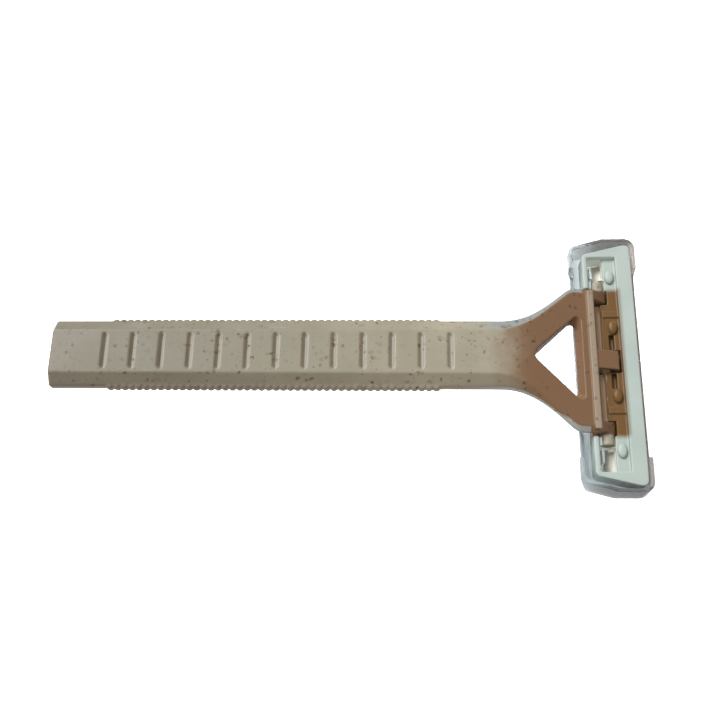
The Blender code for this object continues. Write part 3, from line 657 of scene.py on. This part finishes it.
def makeClear():
    # clear styrene, with a painted dark reflection at its ends and a painted brown reflection on its back
    # wall, which are seen edge on, and a little painted shade at its lower end
    look = clearLook
    material, tree, shader = newMaterial("clearStyrene")
    place = addNode(tree, "ShaderNodeTexCoord").outputs["Object"]
    local = useGroup(tree, placeGroup, Place=place, **headPlace)
    grain = useGroup(tree, grainGroup, Place=place, **look["grain"])
    colour = blendColour(tree, grain["Cloud"], look["tint"], look["pale"])
    atEnd = calc(tree, "MULTIPLY", rise(tree, local["Side"], look["endFrom"]), look["endShare"])
    colour = blendColour(tree, atEnd, colour, look["endDarkReflection"])
    atBack = calc(tree, "MULTIPLY", rise(tree, local["Along"], look["backFrom"]), look["backShare"])
    colour = blendColour(tree, atBack, colour, look["backBrownReflection"])
    atLowEnd = fall(tree, local["Across"], look["lowTo"])
    colour = blendColour(tree, atLowEnd, colour, look["lowEndShade"], "MULTIPLY")
    shader.inputs["Metallic"].default_value = 0.0
    shader.inputs["Transmission Weight"].default_value = look["transmission"]
    shader.inputs["IOR"].default_value = look["ior"]
    addSkin(tree, shader, colour, grain, look)
    return material


straw = makeStraw()
white = makeWhite("seatWhite")
capWhite = makeWhite("capWhite")
steel = makeSteel()
spacerGrey = makePlain("spacerGrey", spacerLook)
gel = makePlain("stripGel", gelLook)
clear = makeClear()
print("materials built")

finishes = {
    "handle": straw,
    "cartridge_seat": white,
    "seat_blade": steel,
    "blade_spacer": spacerGrey,
    "cap_blade": steel,
    "cartridge_cap": capWhite,
    "lubricating_strip": gel,
    "protective_cap": clear,
}
for name, finish in finishes.items():
    nodes[name].data.materials.clear()
    nodes[name].data.materials.append(finish)
print("finishes given to the nodes")


# the moulded pieces are shown by softened copies of their nodes: a fine skin over the same solid, relaxed so
# that no hard edge is left, then thinned out where it is flat. skin is the size of its cells, relax the
# number of rounds, and keep the share of the faces that stays
mouldings = {
    "handle": {
        "piece": "handleMoulding",
        "body": "handle",
        "slot": "straw_plastic",
        "skin": 0.13,
        "relax": 6,
        "keep": 0.36,
    },
    "cartridge_seat": {
        "piece": "seatMoulding",
        "body": "cartridge",
        "slot": "white_plastic",
        "skin": 0.09,
        "relax": 4,
        "keep": 0.4,
    },
    "cartridge_cap": {
        "piece": "capMoulding",
        "body": "cartridge",
        "slot": "white_plastic",
        "skin": 0.09,
        "relax": 4,
        "keep": 0.5,
    },
    "protective_cap": {
        "piece": "coverMoulding",
        "body": "protective_cap",
        "slot": "clear_plastic",
        "skin": 0.12,
        "relax": 5,
        "keep": 0.5,
    },
}
relaxFactor = 0.5


def softenNode(source, plan):
    piece = bpy.data.objects.new(plan["piece"], nodes[source].data.copy())
    bpy.context.scene.collection.objects.link(piece)
    skin = piece.modifiers.new("skin", "REMESH")
    skin.mode = "VOXEL"
    skin.voxel_size = plan["skin"] * mm
    relax = piece.modifiers.new("relax", "SMOOTH")
    relax.factor = relaxFactor
    relax.iterations = plan["relax"]
    thin = piece.modifiers.new("thin", "DECIMATE")
    thin.ratio = plan["keep"]
    view = bpy.context.evaluated_depsgraph_get()
    mesh = bpy.data.meshes.new_from_object(piece.evaluated_get(view))
    piece.modifiers.clear()
    piece.data = mesh
    mesh.name = plan["piece"]
    mesh.shade_smooth()
    mesh.materials.clear()
    mesh.materials.append(finishes[source])
    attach(piece, plan["body"])
    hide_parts(source)
    print("softened", source, len(mesh.polygons), "faces")


for source, plan in mouldings.items():
    softenNode(source, plan)


studio = {
    "floor": (0.93, 0.93, 0.93),
    "floorRoughness": 0.9,
    "floorSize": 3000.0,
    "floorCells": 8,
    "floorDrop": 18.0,
    "floorGlow": 0.75,
    "glowThroughClear": 0.5,
    "world": (1.0, 1.0, 1.0),
    "worldStrength": 0.52,
    "worldSeen": 1.0,
    "keyStrength": 3.8,
    "keySpread": 34.0,
    "keyPlace": (-500.0, 480.0, 720.0),
    "colourView": "Standard",
}


def makeFloor():
    shape = bmesh.new()
    cells = studio["floorCells"]
    bmesh.ops.create_grid(shape, x_segments=cells, y_segments=cells, size=studio["floorSize"] * mm / 2)
    mesh = bpy.data.meshes.new("floor")
    shape.to_mesh(mesh)
    shape.free()
    floor = bpy.data.objects.new("floor", mesh)
    # low enough that the cover is still seen when it is pulled off downward
    floor.location.z = -studio["floorDrop"] * mm
    bpy.context.scene.collection.objects.link(floor)
    material, tree, shader = newMaterial("paleFloor")
    shader.inputs["Base Color"].default_value = (*studio["floor"], 1.0)
    shader.inputs["Roughness"].default_value = studio["floorRoughness"]
    shader.inputs["Emission Color"].default_value = (1.0, 1.0, 1.0, 1.0)
    # the glow keeps the floor white where it is looked at, and adds no light to the razor
    path = addNode(tree, "ShaderNodeLightPath").outputs
    throughClear = calc(tree, "MULTIPLY", path["Is Transmission Ray"], studio["glowThroughClear"])
    seen = calc(tree, "MAXIMUM", path["Is Camera Ray"], throughClear)
    feed(tree, shader.inputs["Emission Strength"], calc(tree, "MULTIPLY", seen, studio["floorGlow"]))
    mesh.materials.append(material)


def makeRoom():
    world = bpy.data.worlds.new("softRoom")
    world.use_nodes = True
    tree = world.node_tree
    background = tree.nodes["Background"]
    background.inputs["Color"].default_value = (*studio["world"], 1.0)
    # the room is seen white, and lights the razor with less
    seen = addNode(tree, "ShaderNodeLightPath").outputs["Is Camera Ray"]
    strength = ramp(tree, seen, 0.0, 1.0, studio["worldStrength"], studio["worldSeen"])
    feed(tree, background.inputs["Strength"], strength)
    bpy.context.scene.world = world
    bpy.context.scene.view_settings.view_transform = studio["colourView"]


def makeKey():
    light = bpy.data.lights.new("key", "SUN")
    light.angle = radians(studio["keySpread"])
    light.energy = studio["keyStrength"]
    key = bpy.data.objects.new("key", light)
    bpy.context.scene.collection.objects.link(key)
    key.location = Vector(studio["keyPlace"]) * mm
    key.rotation_euler = (-key.location).to_track_quat("-Z", "Y").to_euler()


makeFloor()
makeRoom()
makeKey()
print("studio lit")
